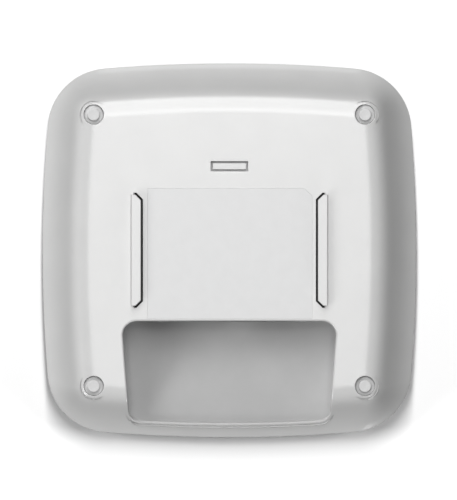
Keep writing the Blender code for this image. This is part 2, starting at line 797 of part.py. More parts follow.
def antenna_leads():
    """Thin coaxial leads, from each strip round the board's edge to its connector."""
    beside = [
        (67.6, 8.0, -26.5),
        (63.5, 10.0, -25.0),
        (57.5, 13.5, -21.5),
        (54.4, 16.5, -18.0),
        (51.5, 19.5, -16.4),
        (46.0, 21.6, -17.1),
    ]
    above = [
        (24.0, 66.4, -26.5),
        (23.0, 65.3, -24.0),
        (22.2, 64.2, -20.5),
        (22.0, 62.8, -17.2),
        (22.5, 59.0, -16.2),
        (23.7, 55.0, -17.1),
    ]
    routes = [[(side * x, y, z) for x, y, z in route] for route in (beside, above) for side in (-1, 1)]
    for number, route in enumerate(routes, start=1):
        curve = bpy.data.curves.new(f"antenna_lead_{number}", "CURVE")
        curve.dimensions = "3D"
        curve.bevel_depth = 0.57 * MM
        curve.bevel_resolution = 2
        curve.use_fill_caps = True
        points = smooth_route(route, 3)
        spline = curve.splines.new("POLY")
        spline.points.add(len(points) - 1)
        for slot, point in zip(spline.points, points):
            slot.co = (*[value * MM for value in point], 1.0)
        curve.materials.append(material("lead_grey"))
        lead = bpy.data.objects.new(f"antenna_lead_{number}", curve)
        bpy.context.collection.objects.link(lead)


def smooth_route(route, steps):
    """A Catmull-Rom curve through the route's points."""
    padded = [route[0], *route, route[-1]]
    points = []
    for a, b, c, d in zip(padded, padded[1:], padded[2:], padded[3:]):
        for step in range(steps):
            t = step / steps
            point = []
            for p, q, r, s in zip(a, b, c, d):
                bend = 2 * p - 5 * q + 4 * r - s
                point.append(0.5 * (2 * q + (r - p) * t + bend * t**2 + (3 * q - p - 3 * r + s) * t**3))
            points.append(point)
    points.append(route[-1])
    return points


# ---------------------------------------------------------------- sockets and reset button


def ethernet_socket():
    """A shielded eight-way socket: steel shell, moulded housing and a block of spring contacts."""
    width, depth, height = ETHERNET_SIZE
    low = (ETHERNET_X - width / 2, PORT_FACE_Y, SEAT)
    high = (ETHERNET_X + width / 2, PORT_FACE_Y + depth, SEAT + height)
    shield = box("ethernet_shield", "tinned_steel", low, high)
    skin = 0.4
    inner_low = (low[0] + skin, low[1] - 1, SEAT - 1)
    cut(shield, box("shield_hollow", None, inner_low, (high[0] - skin, high[1] - skin, high[2] - skin)))

    inset = skin + GAP
    housing_low = (low[0] + inset, low[1] + 0.3, SEAT)
    housing_high = (high[0] - inset, high[1] - inset, high[2] - inset)
    housing = box("ethernet_housing", "socket_black", housing_low, housing_high)
    mouth = SEAT + 2.2
    front, back = low[1] - 1, low[1] + 13.5
    hollows = (
        ("mouth", 5.95, (front, mouth), (back, mouth + 6.8)),
        ("latch_way", 3.1, (front, mouth + 6.0), (back, mouth + 8.4)),
        ("latch_tip", 1.7, (front, mouth + 8.0), (back, mouth + 9.3)),
        ("contact_slot", 4.9, (low[1] + 3.0, SEAT + 0.6), (back - 0.5, mouth + 0.5)),
    )
    cutters = []
    for name, half, near, far in hollows:
        cutters.append(box(name, None, (ETHERNET_X - half, *near), (ETHERNET_X + half, *far)))
    cut(housing, *cutters)

    pitch, strip = 1.02, 0.46
    base_low = (ETHERNET_X - 4.5, low[1] + 3.6, SEAT + 0.9)
    base_high = (ETHERNET_X + 4.5, low[1] + 6.0, SEAT + 1.6)
    contacts = box("ethernet_contacts", "gold_plate", base_low, base_high)
    springs = []
    for way in range(8):
        x = ETHERNET_X + (way - 3.5) * pitch
        side = [
            (low[1] + 4.0, SEAT + 1.3),
            (low[1] + 4.6, SEAT + 1.3),
            (low[1] + 11.6, SEAT + 3.5),
            (low[1] + 11.4, SEAT + 3.9),
        ]
        faces = [[(x + half, y, z) for y, z in side] for half in (-strip / 2, strip / 2)]
        springs.append(loft(f"contact_{way}", None, faces))
    join(contacts, *springs)


def power_socket():
    """A barrel socket: housing with a round mouth, centre pin and side spring."""
    low = (POWER_X - POWER_HALF, PORT_FACE_Y, SEAT)
    high = (POWER_X + POWER_HALF, PORT_FACE_Y + 14.0, POWER_TOP)
    housing = box("power_housing", "socket_black", low, high)
    centre = (POWER_X, PORT_FACE_Y, POWER_Z)
    slot_low = (POWER_X - 1.2, PORT_FACE_Y + 3.5, POWER_Z + 2.5)
    cut(
        housing,
        turned("power_mouth", None, [(3.2, -1.0), (3.2, 10.0)], at=centre, turn=ACROSS_WALL),
        box("spring_slot", None, slot_low, (POWER_X + 1.2, PORT_FACE_Y + 9.0, -5.0)),
        turned("pin_hole", None, [(1.3, 9.0), (1.3, 15.0)], steps=12, at=centre, turn=ACROSS_WALL),
    )
    pin = [(0.7, 1.2), (1.0, 1.6), (1.0, 13.0)]
    turned("power_pin", "tinned_steel", pin, steps=12, at=centre, turn=ACROSS_WALL)
    spring = [
        (PORT_FACE_Y + 3.9, POWER_Z + 4.3),
        (PORT_FACE_Y + 6.2, POWER_Z + 3.0),
        (PORT_FACE_Y + 8.5, POWER_Z + 4.3),
        (PORT_FACE_Y + 8.5, POWER_Z + 4.7),
        (PORT_FACE_Y + 6.2, POWER_Z + 3.4),
        (PORT_FACE_Y + 3.9, POWER_Z + 4.7),
    ]
    faces = [[(POWER_X + half, y, z) for y, z in spring] for half in (-0.8, 0.8)]
    loft("power_spring", "tinned_steel", faces)


def console_socket():
    """A small service socket: pressed shell round a contact tongue."""
    low = (CONSOLE_X - CONSOLE_HALF, PORT_FACE_Y, SEAT)
    high = (CONSOLE_X + CONSOLE_HALF, PORT_FACE_Y + 6.0, SEAT + CONSOLE_HEIGHT)
    shell = box("console_shell", "tinned_steel", low, high)
    hollow_low = (low[0] + 0.35, low[1] - 1, low[2] + 0.35)
    cut(shell, box("console_hollow", None, hollow_low, (high[0] - 0.35, high[1] - 0.5, high[2] - 0.35)))
    tongue_low = (CONSOLE_X - 2.4, PORT_FACE_Y + 1.0, SEAT + 1.3)
    box("console_tongue", "socket_black", tongue_low, (CONSOLE_X + 2.4, high[1] - 0.8, SEAT + 1.9))


def reset_parts():
    """A flanged cap in the port wall, pushing the plunger of a side-acting switch on the board."""
    wall_back = BAY_TOP_Y + WALL
    at = (RESET_X, BAY_TOP_Y, RESET_Z)
    flange = WALL + GAP
    cap = [(1.3, 0.4), (1.45, 0.55), (1.45, flange), (2.2, flange)]
    cap += [(2.2, flange + 0.5), (0.8, flange + 0.5), (0.8, flange + 0.9)]
    turned("reset_button", "button_grey", cap, steps=16, at=at, turn=ACROSS_WALL)
    plunger_front = flange + 1.05
    plunger = [(0.7, plunger_front), (0.8, plunger_front + 0.15), (0.8, plunger_front + 1.9)]
    turned("switch_plunger", "socket_black", plunger, steps=12, at=at, turn=ACROSS_WALL)
    front = wall_back + GAP + 1.7
    low, high = (RESET_X - 2.4, front, SEAT), (RESET_X + 2.4, front + 2.9, SEAT + 3.6)
    switch = box("reset_switch", "chip_black", low, high)
    bore = [(1.1, 3.0), (1.1, 6.2)]
    cut(switch, turned("plunger_bore", None, bore, steps=12, at=at, turn=ACROSS_WALL))


# ---------------------------------------------------------------- build


def main():
    clear_scene()
    rear_cover()
    front_cover()
    label_and_film()
    plugs_and_screws()
    main_board()
    board_screws()
    heat_spreader()
    chips_and_pads()
    shield_can("front_end_shield_2g", (-36.0, 36.0), (20.0, 18.0, 2.6))
    shield_can("front_end_shield_5g", (36.0, 36.0), (20.0, 18.0, 2.6))
    power_parts()
    led_and_light_pipe()
    antennas()
    antenna_connectors()
    antenna_leads()
    ethernet_socket()
    power_socket()
    console_socket()
    reset_parts()


main()
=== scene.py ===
"""Ceiling access point seen square on from its back, on a pale floor.

The covers, rails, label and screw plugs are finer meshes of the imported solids, with the moulding's
small edge radii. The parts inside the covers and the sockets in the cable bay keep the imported
solids, with materials of their own. Plan shapes and sections are in millimetres, and add() turns
them into metres.
"""

import math

import bmesh
import bpy
import numpy as np
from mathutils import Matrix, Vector
from mathutils.geometry import delaunay_2d_cdt


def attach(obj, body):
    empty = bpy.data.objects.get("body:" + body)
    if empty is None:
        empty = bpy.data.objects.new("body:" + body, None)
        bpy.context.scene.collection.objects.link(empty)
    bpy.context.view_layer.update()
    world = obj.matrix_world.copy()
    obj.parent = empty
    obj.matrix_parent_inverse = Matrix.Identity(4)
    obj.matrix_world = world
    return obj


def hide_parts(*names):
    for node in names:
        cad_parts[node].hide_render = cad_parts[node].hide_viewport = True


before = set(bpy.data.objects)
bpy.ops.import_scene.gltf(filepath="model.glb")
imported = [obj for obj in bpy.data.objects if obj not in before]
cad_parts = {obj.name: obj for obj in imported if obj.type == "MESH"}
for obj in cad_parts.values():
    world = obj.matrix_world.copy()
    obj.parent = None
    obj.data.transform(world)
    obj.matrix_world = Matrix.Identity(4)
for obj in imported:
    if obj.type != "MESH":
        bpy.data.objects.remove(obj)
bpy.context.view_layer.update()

MM = 0.001

# Plan outline of both covers: bowed sides joined by corner arcs.
HALF = 80.0
SIDE_R = 667.0
SCREW_REACH = 60.6
SHOULDER = 66.0
CORNER_OPENING = 7.1
CORNER_LEAST = 1.2
CORNER_STEPS = 26
SIDE_STEPS = 44

# Rear cover, from the flat back down to its rim.
RIM_Z = -20.0
BACK_SLOPES = (
    (58.5, 0.0),
    (60.0, 3.0),
    (62.3, 11.0),
    (63.5, 18.0),
    (64.6, 27.0),
    (65.6, 37.0),
    (66.6, 46.0),
    (67.5, 54.0),
    (68.5, 59.0),
    (70.0, 61.0),
    (73.0, 57.0),
    (76.0, 49.0),
    (HALF, 35.0),
)
BACK_STEPS = 34
RIM_RADIUS = 0.6
RIM_FOOT_Z = -20.17
STEP_REACH = 77.6
STEP_Z = -22.0
COVER_WALL = 1.6

# Front cover, from the parting line down to the room-side face.
FRONT_TOP = -20.3
SHOULDER_Z = -24.5
FACE_EDGE = 66.0
FACE_Z = -33.3
CROWN = 0.7
FRONT_STEPS = 20

# Cable bay.
BAY_TOP_Y = -30.2
BAY_FLOOR_Z = -19.0
BAY_RIM_INSET = 5.6
BAY_HALF_TOP = 45.65
BAY_HALF_LOW = 43.2
BAY_TOP_R = 6.0
BAY_LOW_R = 5.0
LOW_EDGE_Y = -73.8
LOW_EDGE_BLEND = 6.0
MOUTH_RADIUS = 0.7
LOW_MOUTH_RADIUS = 0.35
EDGE_MARGIN = 0.12
BAY_FLOOR_RADIUS = 0.3

# Hooked rails.
RAIL_OUTER = 41.9
RAIL_TIP = 37.85
RAIL_WEB = 1.1
RAIL_HALF = 23.7
RAIL_TOP = 2.4
RAIL_UNDER = 1.2
RAIL_CHAMFER = 2.3
RAIL_ROOT = -1.0
SLOT_GAP = 0.9
SLOT_OUTER = 41.0
RAIL_RELIEF = 0.3

# Latch pocket, label recess, label and screw plugs.
LATCH_Y = 35.9
LATCH_HALF = (8.0, 2.2)
LATCH_DEPTH = 1.6
LATCH_CORNER = 0.25
LATCH_EDGE = 0.08
LATCH_SEAT = (7.15, 1.35)
LATCH_SEAT_TOP = -0.7
LABEL_LOW = (-35.0, -29.0)
LABEL_HIGH = (35.3, 26.4)
LABEL_CORNER = 3.2
LABEL_RECESS = 0.35
LABEL_GAP = 0.03
LABEL_TOP = -0.05
LABEL_THICK = 0.2
SCREW_PLACES = ((-58.0, -58.0), (58.0, -58.0), (58.0, 58.0), (-58.0, 58.0))
PLUG_POCKET_R = 4.3
PLUG_POCKET_Z = -2.7
PLUG_POCKET_EDGE = 0.22
PLUG_SHELF_Z = -2.1
COUNTERBORE_R = 3.2
COUNTERBORE_Z = -9.0

# Windows in the bay's upper wall: low and high corners in x and z, with their corner radius.
WINDOWS = (
    ((9.7, -18.2), (26.3, -4.4), 0.4),
    ((-8.4, -18.2), (0.4, -14.2), 0.4),
    ((-19.8, -17.4), (-16.2, -13.8), 1.79),
    ((-38.3, -18.2), (-27.7, -6.0), 0.4),
)
WINDOW_RADIUS = 0.15
LIGHT_HOLE_AT = (0.0, 55.5)
LIGHT_HOLE_R = 1.8
LIGHT_HOLE_EDGE = 0.3

FLOOR_Z = -34.05
FLOOR_R = 6000.0
FLOOR_COLOUR = (0.92, 0.92, 0.92, 1.0)

# Softboxes: azimuth round from +X and elevation in degrees, size in metres, power in watts.
LIGHT_DISTANCE = 1.5
# A tall bank of equal boxes above the top edge, from low down to nearly overhead.
BANK_ELEVATIONS = (28, 44, 60, 76)
BANK_SIZE = (0.6, 0.42)
BANK_POWER = 4.5
# The bank's dim foot, overhead, upper left, lower left with a small accent, and low at the lower right.
OBJECT_LIGHTS = (
    (90, 14, BANK_SIZE, 1.5),
    (90, 89, (0.6, 0.6), 3.8),
    (140, 40, (0.7, 0.5), 6.0),
    (210, 28, (0.7, 0.5), 9.0),
    (225, 16, (0.3, 0.25), 3.0),
    (300, 8, (0.7, 0.35), 9.0),
)
FLOOR_LIGHTS = (
    (90, 60, (0.1, 1.33), 21.5),
    (0, 40, (0.5, 0.3), 10.5),
    (180, 40, (0.5, 0.3), 10.5),
)
WORLD_STRENGTH = 0.03

# Camera, in metres apart from its sensor in mm: its frame is VIEW_HEIGHT tall at CUT_BELOW under the back.
SENSOR = 24.0
CAMERA_DISTANCE = 8.0
VIEW_HEIGHT = 0.2139
CUT_BELOW = 0.01
VIEW_SHIFT = (-0.0018, 0.0006)


# ---------------------------------------------------------------- materials


def node(tree, kind, **values):
    made = tree.nodes.new(kind)
    for name, value in values.items():
        if hasattr(made, name):
            setattr(made, name, value)
        else:
            made.inputs[name.replace("_", " ")].default_value = value
    return made


def surface(name, dark, light, grain, rough, bump, stretch=(1, 1, 1), detail=4.0, **shader_values):
    """A finish with a mottle of `grain` per metre in colour and roughness, and a finer relief."""
    made = bpy.data.materials.new(name)
    made.use_nodes = True
    tree = made.node_tree
    shader = tree.nodes["Principled BSDF"]
    for key, value in shader_values.items():
        shader.inputs[key.replace("_", " ")].default_value = value
    place = node(tree, "ShaderNodeTexCoord")
    mapping = node(tree, "ShaderNodeMapping", Scale=stretch)
    tree.links.new(place.outputs["Object"], mapping.inputs["Vector"])

    mottle = node(tree, "ShaderNodeTexNoise", Scale=grain, Detail=detail, Roughness=0.55)
    tree.links.new(mapping.outputs["Vector"], mottle.inputs["Vector"])
    ramp = node(tree, "ShaderNodeValToRGB")
    ramp.color_ramp.elements[0].position = 0.35
    ramp.color_ramp.elements[0].color = (*dark, 1.0)
    ramp.color_ramp.elements[1].position = 0.65
    ramp.color_ramp.elements[1].color = (*light, 1.0)
    tree.links.new(mottle.outputs["Fac"], ramp.inputs["Fac"])
    tree.links.new(ramp.outputs["Color"], shader.inputs["Base Color"])

    spread = node(tree, "ShaderNodeMapRange", To_Min=rough[0], To_Max=rough[1])
    spread.inputs["From Min"].default_value = 0.3
    spread.inputs["From Max"].default_value = 0.7
    tree.links.new(mottle.outputs["Fac"], spread.inputs["Value"])
    tree.links.new(spread.outputs["Result"], shader.inputs["Roughness"])

    scale, strength, height = bump
    relief = node(tree, "ShaderNodeTexNoise", Scale=scale, Detail=3.0, Roughness=0.6)
    tree.links.new(mapping.outputs["Vector"], relief.inputs["Vector"])
    pushed = node(tree, "ShaderNodeBump", Strength=strength, Distance=height)
    tree.links.new(relief.outputs["Fac"], pushed.inputs["Height"])
    tree.links.new(pushed.outputs["Normal"], shader.inputs["Normal"])
    return made


def board_finish():
    """Green solder mask over rows of tracks, seen as a faint change of colour."""
    made = surface(
        "board_green", (0.022, 0.13, 0.06), (0.035, 0.18, 0.09), 90, (0.28, 0.38), (1500, 0.1, 2e-4),
    )
    tree = made.node_tree
    place = tree.nodes["Texture Coordinate"]
    tracks = node(tree, "ShaderNodeTexBrick", Scale=260, offset=0.37, squash=1.6)
    tracks.inputs["Mortar Size"].default_value = 0.03
    tracks.inputs["Color1"].default_value = (0.03, 0.16, 0.075, 1)
    tracks.inputs["Color2"].default_value = (0.025, 0.14, 0.065, 1)
    tracks.inputs["Mortar"].default_value = (0.06, 0.26, 0.13, 1)
    tree.links.new(place.outputs["Object"], tracks.inputs["Vector"])
    tree.links.new(tracks.outputs["Color"], tree.nodes["Principled BSDF"].inputs["Base Color"])
    return made


LOOKS = {
    "cover_white": surface(
        "cover_white", (0.512, 0.512, 0.51), (0.528, 0.528, 0.525), 55, (0.18, 0.22), (2600, 0.12, 6e-5),
        Specular_IOR_Level=0.65,
    ),
    # Darker than cover_white: painted shade for the cable bay and the latch groove; its higher roughness is a
    # rougher moulded finish.
    "bay_rough_painted_shade": surface(
        "bay_rough_painted_shade", (0.385, 0.385, 0.385), (0.41, 0.41, 0.41), 70, (0.55, 0.65), (1500, 0.2, 1e-4),
    ),
    "label_white": surface(
        "label_white", (0.545, 0.546, 0.547), (0.562, 0.563, 0.564), 140, (0.33, 0.38), (4200, 0.05, 3e-5),
    ),
    "plug_rubber": surface(
        "plug_rubber", (0.50, 0.50, 0.50), (0.53, 0.53, 0.53), 900, (0.45, 0.52), (3800, 0.15, 6e-5),
    ),
    "zinc_steel": surface(
        "zinc_steel", (0.50, 0.51, 0.54), (0.66, 0.66, 0.68), 700, (0.28, 0.42), (2500, 0.1, 5e-5),
        Metallic=1.0,
    ),
    # Black sheet under the rail slots: a dark sheet put where the slots show only shade inside the cover.
    "black_film": surface(
        "black_film", (0.008, 0.008, 0.008), (0.016, 0.016, 0.016), 300, (0.5, 0.62), (3000, 0.1, 4e-5),
    ),
    "board_green": board_finish(),
    "cast_aluminium": surface(
        "cast_aluminium", (0.50, 0.51, 0.52), (0.66, 0.67, 0.69), 500, (0.42, 0.6), (1400, 0.3, 2e-4),
        Metallic=1.0,
    ),
    "thermal_pad": surface(
        "thermal_pad", (0.40, 0.45, 0.53), (0.49, 0.54, 0.62), 800, (0.8, 0.95), (2200, 0.3, 2e-4),
    ),
    "chip_black": surface(
        "chip_black", (0.022, 0.022, 0.025), (0.04, 0.04, 0.045), 1600, (0.45, 0.6), (5000, 0.2, 6e-5),
    ),
    "tinned_steel": surface(
        "tinned_steel", (0.56, 0.56, 0.54), (0.72, 0.72, 0.70), 260, (0.2, 0.36), (900, 0.1, 8e-5),
        stretch=(1, 1, 12), Metallic=1.0,
    ),
    "antenna_brass": surface(
        "antenna_brass", (0.62, 0.48, 0.24), (0.78, 0.64, 0.36), 350, (0.25, 0.42), (1200, 0.12, 8e-5),
        Metallic=1.0,
    ),
    "lead_grey": surface(
        "lead_grey", (0.26, 0.26, 0.27), (0.34, 0.34, 0.35), 1200, (0.42, 0.55), (4000, 0.1, 4e-5),
    ),
    "socket_black": surface(
        "socket_black", (0.018, 0.018, 0.02), (0.032, 0.032, 0.036), 900, (0.38, 0.52), (3500, 0.12, 5e-5),
    ),
    "gold_plate": surface(
        "gold_plate", (0.76, 0.54, 0.2), (0.88, 0.68, 0.30), 700, (0.16, 0.28), (2200, 0.08, 4e-5),
        Metallic=1.0,
    ),
    "button_grey": surface(
        "button_grey", (0.17, 0.17, 0.18), (0.23, 0.23, 0.24), 1400, (0.42, 0.55), (4200, 0.14, 5e-5),
    ),
    "ferrite": surface(
        "ferrite", (0.07, 0.07, 0.08), (0.13, 0.13, 0.14), 1100, (0.6, 0.78), (2600, 0.35, 1.5e-4),
    ),
    "can_aluminium": surface(
        "can_aluminium", (0.6, 0.6, 0.62), (0.76, 0.76, 0.77), 400, (0.2, 0.34), (1800, 0.08, 5e-5),
        stretch=(1, 1, 8), Metallic=1.0,
    ),
    "led_clear": surface(
        "led_clear", (0.82, 0.85, 0.87), (0.9, 0.92, 0.93), 600, (0.08, 0.16), (2000, 0.04, 3e-5),
        IOR=1.49, Transmission_Weight=0.6,
    ),
}


# ---------------------------------------------------------------- mesh helpers


def add(name, look, points, faces, body="housing", sharp=40.0):
    """A piece from points in mm; double points are merged and its faces turned outwards."""
    mesh = bpy.data.meshes.new(name)
    mesh.from_pydata([[value * MM for value in point] for point in points], [], faces)
    work = bmesh.new()
    work.from_mesh(mesh)
    bmesh.ops.remove_doubles(work, verts=work.verts, dist=0.004 * MM)
    bmesh.ops.recalc_face_normals(work, faces=work.faces)
    work.to_mesh(mesh)
    work.free()
    mesh.shade_smooth()
    mesh.set_sharp_from_angle(angle=math.radians(sharp))
    mesh.materials.append(LOOKS[look])
    made = bpy.data.objects.new(name, mesh)
    bpy.context.collection.objects.link(made)
    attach(made, body)
    return made


def weigh_normals(piece):
    weighted = piece.modifiers.new("normals", "WEIGHTED_NORMAL")
    weighted.mode = "FACE_AREA"
    weighted.keep_sharp = True


def thicken(piece, thickness):
    shell = piece.modifiers.new("wall", "SOLIDIFY")
    shell.thickness = thickness * MM
    shell.offset = -1.0
    shell.use_rim = True


def round_edges(piece, width, segments=2, angle=30.0):
    bevel = piece.modifiers.new("edges", "BEVEL")
    bevel.width = width * MM
    bevel.segments = segments
    bevel.limit_method = "ANGLE"
    bevel.angle_limit = math.radians(angle)


class Body:
    """Points and faces gathered from strips, caps and patches."""

    def __init__(self):
        self.points = []
        self.faces = []

    def loop(self, points):
        start = len(self.points)
        self.points += [tuple(point) for point in points]
        return list(range(start, len(self.points)))

    def strip(self, low, high, skip=None):
        count = len(low)
        for i in range(count):
            j = (i + 1) % count
            if skip and skip(i, j):
                continue
            self.faces.append((low[i], low[j], high[j], high[i]))

    def rings(self, loops, skip=None):
        made = [self.loop(points) for points in loops]
        for low, high in zip(made, made[1:]):
            self.strip(low, high, skip)
        return made

    def cap(self, ring):
        self.faces.append(tuple(ring))

    def add_faces(self, points, faces):
        """Faces of a mesh of its own, numbered from its first point."""
        start = len(self.points)
        self.points += points
        self.faces += [tuple(start + corner for corner in face) for face in faces]


def arc(centre, radius, start, end, steps):
    angles = np.radians(np.linspace(start, end, steps + 1))
    return [(centre[0] + radius * math.cos(a), centre[1] + radius * math.sin(a)) for a in angles]


def circle(radius, steps, centre=(0, 0)):
    return arc(centre, radius, 0, 360, steps)[:-1]


def at_height(plan, z):
    return [(x, y, z) for x, y in plan]


def rounded(low, high, radius, steps):
    """A rectangle with rounded corners, anticlockwise from the lower right corner."""
    x, y = (low[0] + radius, high[0] - radius), (low[1] + radius, high[1] - radius)
    points = []
    for quarter, centre in enumerate(((x[1], y[0]), (x[1], y[1]), (x[0], y[1]), (x[0], y[0])), start=-1):
        points += arc(centre, radius, 90 * quarter, 90 * quarter + 90, steps)
    return points


def subdivided(loop, along, longest=2.5):
    """The loop with every side longer than `longest` cut in `along` parts."""
    made = []
    for a, b in zip(loop, loop[1:] + loop[:1]):
        parts = along if math.dist(a, b) > longest else 1
        made += [tuple(a[i] + (b[i] - a[i]) * part / parts for i in range(len(a))) for part in range(parts)]
    return made


def inside(points, loop):
    """Whether each point lies inside a closed plan loop."""
    points = np.asarray(points)
    found = np.zeros(len(points), bool)
    for (ax, ay), (bx, by) in zip(loop, loop[1:] + loop[:1]):
        if ay == by:
            continue
        crosses = (ay > points[:, 1]) != (by > points[:, 1])
        found ^= crosses & (points[:, 0] < (bx - ax) * (points[:, 1] - ay) / (by - ay) + ax)
    return found


def grown(loop, distance):
    """A convex loop moved outwards, roughly: each point moves along its own normal."""
    made = []
    for a, b, c in zip(loop[-1:] + loop[:-1], loop, loop[1:] + loop[:1]):
        along = Vector((c[0] - a[0], c[1] - a[1])).normalized()
        made.append((b[0] + along.y * distance, b[1] - along.x * distance))
    return made


def meshed(outline_points, holes, filling, clear=0.35):
    """Triangles between an outline and its holes, through the filling points clear of the holes."""
    filling = np.asarray(filling, float).reshape(-1, 2)
    keep = inside(filling, outline_points)
    for hole in holes:
        keep &= ~inside(filling, grown(hole, clear))
    plan, edges = [], []
    for loop in [outline_points, *holes]:
        start = len(plan)
        plan += [tuple(point) for point in loop]
        edges += [(start + i, start + (i + 1) % len(loop)) for i in range(len(loop))]
    plan += [tuple(point) for point in filling[keep]]
    points, _, faces, *_ = delaunay_2d_cdt([Vector(point) for point in plan], edges, [], 0, 1e-6)
    points = [tuple(point) for point in points]
    middles = np.array([np.mean([points[i] for i in face], axis=0) for face in faces])
    wanted = inside(middles, list(outline_points))
    for hole in holes:
        wanted &= ~inside(middles, list(hole))
    return points, [face for face, keep_it in zip(faces, wanted) if keep_it]


# ---------------------------------------------------------------- the covers' outline


def corner_radius(reach):
    opening = np.maximum(0.0, (reach - SHOULDER) / (HALF - SHOULDER))
    return np.maximum(CORNER_LEAST, reach - SCREW_REACH) + CORNER_OPENING * opening**2


def corner_centre(reach, corner_r):
    away = SIDE_R - HALF
    span = away + reach - corner_r
    return (-away + np.sqrt(2 * span**2 - away**2)) / 2


def outline(reach, corner_r):
    """A cover's plan where its sides pass `reach` from the middle."""
    centre = float(corner_centre(reach, corner_r))
    away = SIDE_R - HALF
    lean = math.degrees(math.atan2(centre, centre + away))
    points = []
    for quarter in range(4):
        piece = arc((-away, 0), away + reach, -lean, lean, SIDE_STEPS)[:-1]
        piece += arc((centre, centre), float(corner_r), lean, 90 - lean, CORNER_STEPS)[:-1]
        spin = math.radians(90 * quarter)
        cos, sin = math.cos(spin), math.sin(spin)
        points += [(x * cos - y * sin, x * sin + y * cos) for x, y in piece]
    return points


def contour(reach):
    return outline(reach, corner_radius(reach))


def rim_outline(reach):
    """The plan that runs parallel to the rim."""
    return outline(reach, corner_radius(HALF) - (HALF - reach))


def back_section(steps):
    """(reach, z) down the rear cover's skin, from the flat back to its rim."""
    reaches, slopes = zip(*BACK_SLOPES)
    fine = np.linspace(reaches[0], HALF, 1201)
    middles = (fine[1:] + fine[:-1]) / 2
    falls = np.tan(np.radians(np.interp(middles, reaches, slopes)))
    fall = np.concatenate([[0.0], np.cumsum(falls)])
    wanted = np.linspace(reaches[0], HALF, steps + 1)
    heights = np.interp(wanted, fine, RIM_Z * fall / fall[-1])
    return [(float(reach), float(z)) for reach, z in zip(wanted, heights)]


FINE_SECTION = back_section(400)


def reach_of(plan):
    """The reach of the contour through each plan point."""
    plan = np.abs(np.asarray(plan, float))
    x, y = plan.max(axis=1), plan.min(axis=1)
    away = SIDE_R - HALF
    low, high = np.zeros(len(x)), np.full(len(x), HALF + 1.0)
    for _ in range(44):
        reach = (low + high) / 2
        corner_r = corner_radius(reach)
        centre = corner_centre(reach, corner_r)
        at_side = y * (centre + away) <= (x + away) * centre
        beyond_side = np.hypot(x + away, y) > away + reach
        beyond = np.where(at_side, beyond_side, np.hypot(x - centre, y - centre) > corner_r)
        low, high = np.where(beyond, reach, low), np.where(beyond, high, reach)
    return (low + high) / 2


def skin_z(plan):
    reaches, heights = zip(*FINE_SECTION)
    return np.interp(reach_of(plan), reaches, heights)


# ---------------------------------------------------------------- rear cover


def bay_outline(grow):
    """The cable bay's plan, `grow` outside its walls: its lower edge runs parallel to the rim."""
    bow_centre = SIDE_R - HALF
    bow_r = SIDE_R - BAY_RIM_INSET + grow
    top_y = BAY_TOP_Y + grow
    low_half, top_half = BAY_HALF_LOW + grow, BAY_HALF_TOP + grow
    top_r, low_r = BAY_TOP_R + grow, BAY_LOW_R + grow
    low_x = low_half - low_r
    low_y = bow_centre - math.sqrt((bow_r - low_r) ** 2 - low_x**2)
    lean = math.degrees(math.atan2(low_x, bow_centre - low_y))
    right = arc((low_x, low_y), low_r, -90 + lean, 0, 12)
    side = [(right[-1][0] + (top_half - right[-1][0]) * t, right[-1][1] + (top_y - top_r - right[-1][1]) * t)
            for t in np.linspace(0, 1, 22)[1:-1]]
    right += side + arc((top_half - top_r, top_y - top_r), top_r, 0, 90, 14)
    top = [(x, top_y) for x in np.linspace(top_half - top_r, -(top_half - top_r), 41)[1:-1]]
    left = [(-x, y) for x, y in reversed(right)]
    bottom = arc((0, bow_centre), bow_r, -90 - lean, -90 + lean, 48)[1:-1]
    return right + top + left + bottom


def on_skin(plan, drop=0.0):
    return [(x, y, z - drop) for (x, y), z in zip(plan, skin_z(plan))]


def quarter_turn(radius, steps):
    """(outward, down) from a face into a wall round an edge of `radius`."""
    turns = np.linspace(0, math.pi / 2, steps + 1)
    return [(radius * (1 - math.sin(turn)), radius * (1 - math.cos(turn))) for turn in turns]


def mouth_outline(share, margin=0.0):
    """The bay's plan at a share of its mouth's edge radius, which is smaller along the low edge."""
    made = []
    for (x, y), (out_x, out_y) in zip(bay_outline(0), bay_outline(MOUTH_RADIUS)):
        radius = np.interp(y, (LOW_EDGE_Y, LOW_EDGE_Y + LOW_EDGE_BLEND), (LOW_MOUTH_RADIUS, MOUTH_RADIUS))
        reach = (share * radius + margin) / MOUTH_RADIUS
        made.append((x + (out_x - x) * reach, y + (out_y - y) * reach, radius))
    return made


def bay_mouth():
    """Rings from the skin, over the mouth's rounded edge, to the top of the bay's walls."""
    rings = [on_skin([(x, y) for x, y, _ in mouth_outline(1.0, EDGE_MARGIN)])]
    for out, drop in quarter_turn(1.0, 6):
        edge = mouth_outline(out)
        heights = skin_z([(x, y) for x, y, _ in edge])
        rings.append([(x, y, float(z) - drop * radius) for (x, y, radius), z in zip(edge, heights)])
    return rings


def bay(body):
    """The bay's mouth, walls and floor; the upper wall's flat part is left for the windows."""
    mouth, foot = bay_mouth(), []
    for turn in np.linspace(0, math.pi / 2, 6):
        inward, down = BAY_FLOOR_RADIUS * (1 - math.cos(turn)), BAY_FLOOR_RADIUS * (1 - math.sin(turn))
        foot.append(at_height(bay_outline(-inward), BAY_FLOOR_Z + down))
    body.rings(mouth)
    top, low = mouth[-1], foot[0]
    flat = BAY_HALF_TOP - BAY_TOP_R + 0.01

    def upper(i, j):
        return all(top[k][1] > BAY_TOP_Y - 0.01 and abs(top[k][0]) <= flat for k in (i, j))

    levels = [top]
    for share in (0.33, 0.66):
        levels.append([(x, y, z + (foot_z - z) * share) for (x, y, z), (_, _, foot_z) in zip(top, low)])
    body.rings([*levels, low], skip=upper)
    rings = body.rings(foot)
    body.cap(rings[-1])
    port_wall(body, [point for i, point in enumerate(top) if upper(i, i)], low[0][2])
    return [(x, y) for x, y, _ in mouth_outline(1.0, EDGE_MARGIN)]


